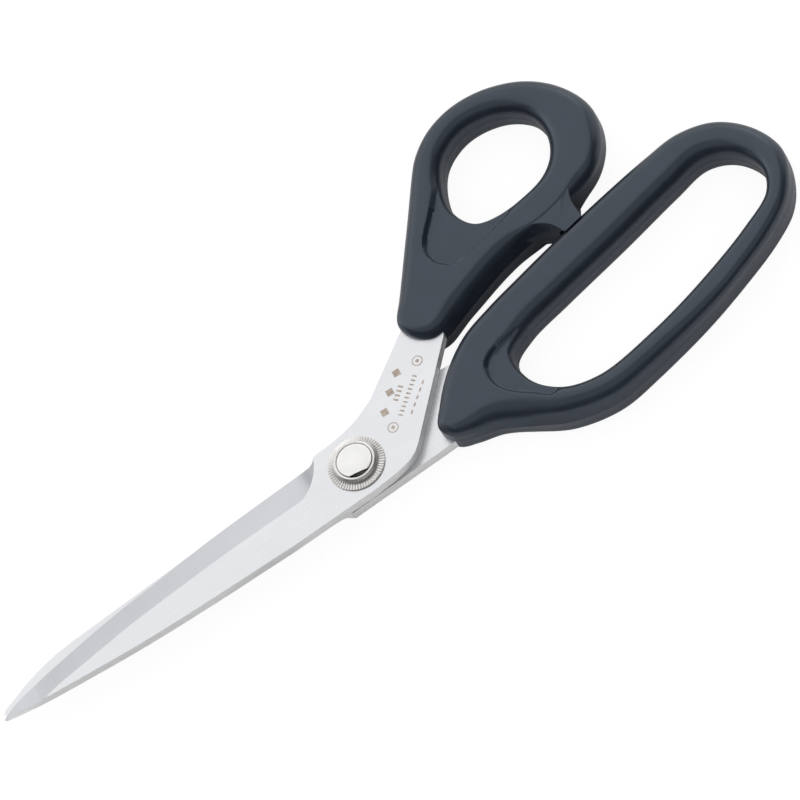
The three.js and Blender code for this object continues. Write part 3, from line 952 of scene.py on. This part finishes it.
def plain_material(name, colour, roughness, metallic=0):
    """A material of one colour, and its shader."""
    material = bpy.data.materials.new(name)
    material.use_nodes = True
    shader = material.node_tree.nodes["Principled BSDF"]
    shader.inputs["Base Color"].default_value = (*colour, 1)
    shader.inputs["Roughness"].default_value = roughness
    shader.inputs["Metallic"].default_value = metallic
    return material, shader


def add_node(material, kind, **inputs):
    """A shader node with values for some of its inputs, whose names take _ for a space."""
    node = material.node_tree.nodes.new(kind)
    for name, value in inputs.items():
        node.inputs[name.replace("_", " ")].default_value = value
    return node


def link(material, source, target):
    """Feeds a node's output to an input."""
    material.node_tree.links.new(source, target)


def noise_at(material, scale, detail, stretch=(1, 1, 1)):
    """Noise in the object's own coordinates, drawn out along the direction with the least stretch."""
    place = add_node(material, "ShaderNodeTexCoord")
    mapping = add_node(material, "ShaderNodeMapping")
    mapping.inputs["Scale"].default_value = stretch
    noise = add_node(material, "ShaderNodeTexNoise", Scale=scale, Detail=detail)
    link(material, place.outputs["Object"], mapping.inputs["Vector"])
    link(material, mapping.outputs["Vector"], noise.inputs["Vector"])
    return noise.outputs["Fac"]


def spread(material, value, low, high):
    """Maps noise to a range of plain values."""
    node = add_node(material, "ShaderNodeMapRange")
    node.inputs["From Min"].default_value = 0.25
    node.inputs["From Max"].default_value = 0.75
    node.inputs["To Min"].default_value = low
    node.inputs["To Max"].default_value = high
    link(material, value, node.inputs["Value"])
    return node.outputs["Result"]


def tint(material, shader, value, dark, light):
    """Colours the shader between two close shades by the noise."""
    ramp = add_node(material, "ShaderNodeValToRGB")
    ramp.color_ramp.elements[0].position = 0.3
    ramp.color_ramp.elements[0].color = (*dark, 1)
    ramp.color_ramp.elements[1].position = 0.7
    ramp.color_ramp.elements[1].color = (*light, 1)
    link(material, value, ramp.inputs["Fac"])
    link(material, ramp.outputs["Color"], shader.inputs["Base Color"])


def bump(material, shader, value, strength, distance):
    """Fine relief from the noise; the distance is in metres."""
    node = add_node(material, "ShaderNodeBump", Strength=strength, Distance=distance)
    link(material, value, node.inputs["Height"])
    link(material, node.outputs["Normal"], shader.inputs["Normal"])


def grip_material():
    """Matt moulded plastic: a fine grained skin, slate grey."""
    material, shader = plain_material("grip_slate", (0.0125, 0.0173, 0.026), 0.32)
    shader.inputs["Specular IOR Level"].default_value = 0.81
    shader.inputs["Specular Tint"].default_value = (0.745, 0.85, 1, 1)
    skin = noise_at(material, 2600, 3)
    tint(material, shader, noise_at(material, 180, 3), (0.011, 0.0154, 0.0228), (0.0144, 0.0192, 0.0295))
    link(material, spread(material, skin, 0.28, 0.36), shader.inputs["Roughness"])
    bump(material, shader, skin, 0.12, 0.00004)
    return material


def steel_material(name, dark, light, rough, stretch, strength=0.05):
    """Steel with fine finishing lines along one direction."""
    material, shader = plain_material(name, light, rough, metallic=1)
    lines = noise_at(material, 220, 4, stretch)
    tint(material, shader, noise_at(material, 90, 3, (0.4, 1, 1)), dark, light)
    link(material, spread(material, lines, rough - 0.05, rough + 0.05), shader.inputs["Roughness"])
    bump(material, shader, lines, strength, 0.00002)
    return material


def nickel_material(name, dark, light, rough):
    """Plated metal with slightly uneven gloss."""
    material, shader = plain_material(name, light, rough, metallic=1)
    wear = noise_at(material, 700, 4)
    link(material, spread(material, wear, rough - 0.05, rough + 0.05), shader.inputs["Roughness"])
    tint(material, shader, noise_at(material, 250, 3), dark, light)
    bump(material, shader, wear, 0.04, 0.00002)
    return material


def mark_material():
    """The oxide left by etching: brown, and half metallic."""
    material, shader = plain_material("etched_oxide", (0.45, 0.375, 0.312), 0.5, metallic=0.6)
    tint(material, shader, noise_at(material, 1500, 3), (0.356, 0.291, 0.244), (0.544, 0.469, 0.4125))
    return material


add_camera()
add_light()
add_floor()
grip = grip_material()
# The blade's three steels differ in finish and also in colour. The bevel's steel is darker as painted shade,
# and the sides' steel is much brighter as painted light where the side walls catch the light.
satin = steel_material("steel_satin", (0.685, 0.692, 0.712), (0.716, 0.724, 0.744), 0.3, ALONG_BLADE, 0.03)
ground = steel_material("steel_ground_painted_dark", (0.532, 0.543, 0.567), (0.555, 0.566, 0.591), 0.32, ACROSS_BLADE)
sides = steel_material("steel_sides_painted_bright", (0.77, 0.77, 0.775), (0.975, 0.975, 0.98), 0.36, THROUGH_BLADE, 0.1)
polished = nickel_material("nickel_polished", (0.731, 0.726, 0.716), (0.797, 0.791, 0.78), 0.19)
nickel = nickel_material("nickel_plain", (0.7, 0.688, 0.67), (0.8, 0.786, 0.767), 0.38)
spring_steel = steel_material(
    "spring_steel_blued", (0.375, 0.375, 0.394), (0.47, 0.47, 0.488), 0.35, NO_LINES)
brass = steel_material("washer_brass", (0.79, 0.525, 0.19), (0.92, 0.64, 0.26), 0.35, NO_LINES)


def finish_piece(piece, node, body, material=None):
    """Gives a piece its material and body, and puts it in the place of its CAD node."""
    if material:
        piece.data.materials.append(material)
    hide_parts(node)
    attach(piece, body)


thumb = loop_handle("thumb_handle_moulding", THUMB_OUTLINE, THUMB_HOLE, THUMB_RECESS, THUMB_TIGHT, THUMB_LEAN)
combine(thumb, stop_nib(), "UNION")
thumb.data.shade_smooth()
crease(thumb, HANDLE_CREASE)
finish_piece(thumb, "thumb_handle", THUMB_SIDE, grip)

finger = loop_handle("finger_handle_moulding", FINGER_OUTLINE, FINGER_HOLE, FINGER_RECESS, FINGER_TIGHT,
                     FINGER_LEAN)
finish_piece(finger, "finger_handle", FINGER_SIDE, grip)

thumb_blade = blade("thumb_blade_ground", THUMB_BLADE, THUMB_EDGE, THUMB_SPINE, THUMB_BEVEL)
dress_blade(thumb_blade)
soften_edges(thumb_blade, BLADE_SOFT)
finish_piece(thumb_blade, "thumb_blade", THUMB_SIDE)

finger_blade = turn_over(blade("finger_blade_ground", FINGER_BLADE, FINGER_EDGE, FINGER_SPINE, FINGER_BEVEL))
dress_blade(finger_blade)
soften_edges(finger_blade, BLADE_SOFT)
finish_piece(finger_blade, "finger_blade", FINGER_SIDE)

bolt = pivot_bolt()
crease(bolt, BOLT_CREASE)
finish_piece(bolt, "pivot_bolt", FINGER_SIDE, polished)

nut = tension_nut()
crease(nut, RING_CREASE)
finish_piece(nut, "tension_nut", NUT_BODY, nickel)

spring = disc_spring()
crease(spring, RING_CREASE)
finish_piece(spring, "disc_spring", FINGER_SIDE, spring_steel)

marks = etched_marks()
marks.data.materials.append(mark_material())
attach(marks, THUMB_SIDE)

for node, material in (("glide_washer", brass), ("key_washer", spring_steel)):
    washer = frame["nodes"][node]
    washer.data.materials.clear()
    washer.data.materials.append(material)

bpy.context.scene.view_settings.view_transform = "Standard"
